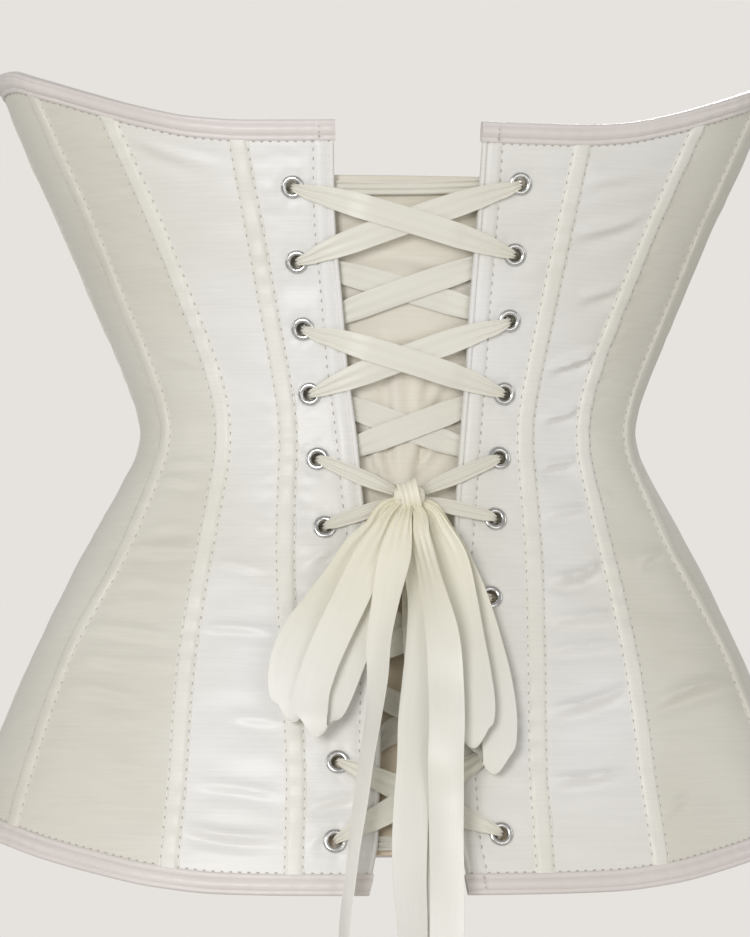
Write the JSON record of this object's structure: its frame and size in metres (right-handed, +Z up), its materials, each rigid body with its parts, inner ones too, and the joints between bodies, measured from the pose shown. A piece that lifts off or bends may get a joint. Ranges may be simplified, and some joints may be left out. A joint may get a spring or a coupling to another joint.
{
  "type": "corset top",
  "caption": "Strapless boned corset top in ivory satin, hourglass, sweetheart front, laced down the back with a satin ribbon bow.",
  "frame": {"origin": "middle of the waist, where the wearer's body holds the garment, on the axis of the hollow", "axes": "+X towards the wearer's left, +Y towards the laced back, +Z up"},
  "size_m": [0.3734, 0.2533, 0.4109],
  "materials": {
    "satin": "ivory duchess satin, soft sheen",
    "binding": "pinkish ivory satin bias binding",
    "modesty": "warm ivory satin, duller",
    "ribbon": "cream double-faced satin ribbon",
    "eyelet_metal": "polished nickel"
  },
  "bodies": {
    "root": {"panel_centre_back_left": "satin", "panel_back_left": "satin", "panel_side_back_left": "satin", "panel_side_left": "satin", "panel_side_front_left": "satin", "bone_casing_a_left": "satin", "bone_casing_b_left": "satin", "bone_casing_c_left": "satin", "bone_casing_d_left": "satin", "bone_casing_e_left": "satin", "eyelet_left_1": "eyelet_metal", "eyelet_left_2": "eyelet_metal", "eyelet_left_3": "eyelet_metal", "eyelet_left_4": "eyelet_metal", "eyelet_left_5": "eyelet_metal", "eyelet_left_6": "eyelet_metal", "eyelet_left_7": "eyelet_metal", "eyelet_left_8": "eyelet_metal", "eyelet_left_9": "eyelet_metal", "eyelet_left_10": "eyelet_metal", "panel_centre_back_right": "satin", "panel_back_right": "satin", "panel_side_back_right": "satin", "panel_side_right": "satin", "panel_side_front_right": "satin", "bone_casing_a_right": "satin", "bone_casing_b_right": "satin", "bone_casing_c_right": "satin", "bone_casing_d_right": "satin", "bone_casing_e_right": "satin", "eyelet_right_1": "eyelet_metal", "eyelet_right_2": "eyelet_metal", "eyelet_right_3": "eyelet_metal", "eyelet_right_4": "eyelet_metal", "eyelet_right_5": "eyelet_metal", "eyelet_right_6": "eyelet_metal", "eyelet_right_7": "eyelet_metal", "eyelet_right_8": "eyelet_metal", "eyelet_right_9": "eyelet_metal", "eyelet_right_10": "eyelet_metal", "panel_centre_front": "satin", "binding_top": "binding", "binding_hem": "binding", "modesty_panel": "modesty", "modesty_band": "modesty", "lace_upper": "ribbon", "lace_lower": "ribbon", "bow_knot": "ribbon", "loop_left_outer": "ribbon", "loop_left_inner": "ribbon", "loop_right_inner": "ribbon", "loop_right_outer": "ribbon", "tail_left": "ribbon", "tail_middle": "ribbon", "tail_back": "ribbon", "tail_right": "ribbon"}
  },
  "joints": []
}
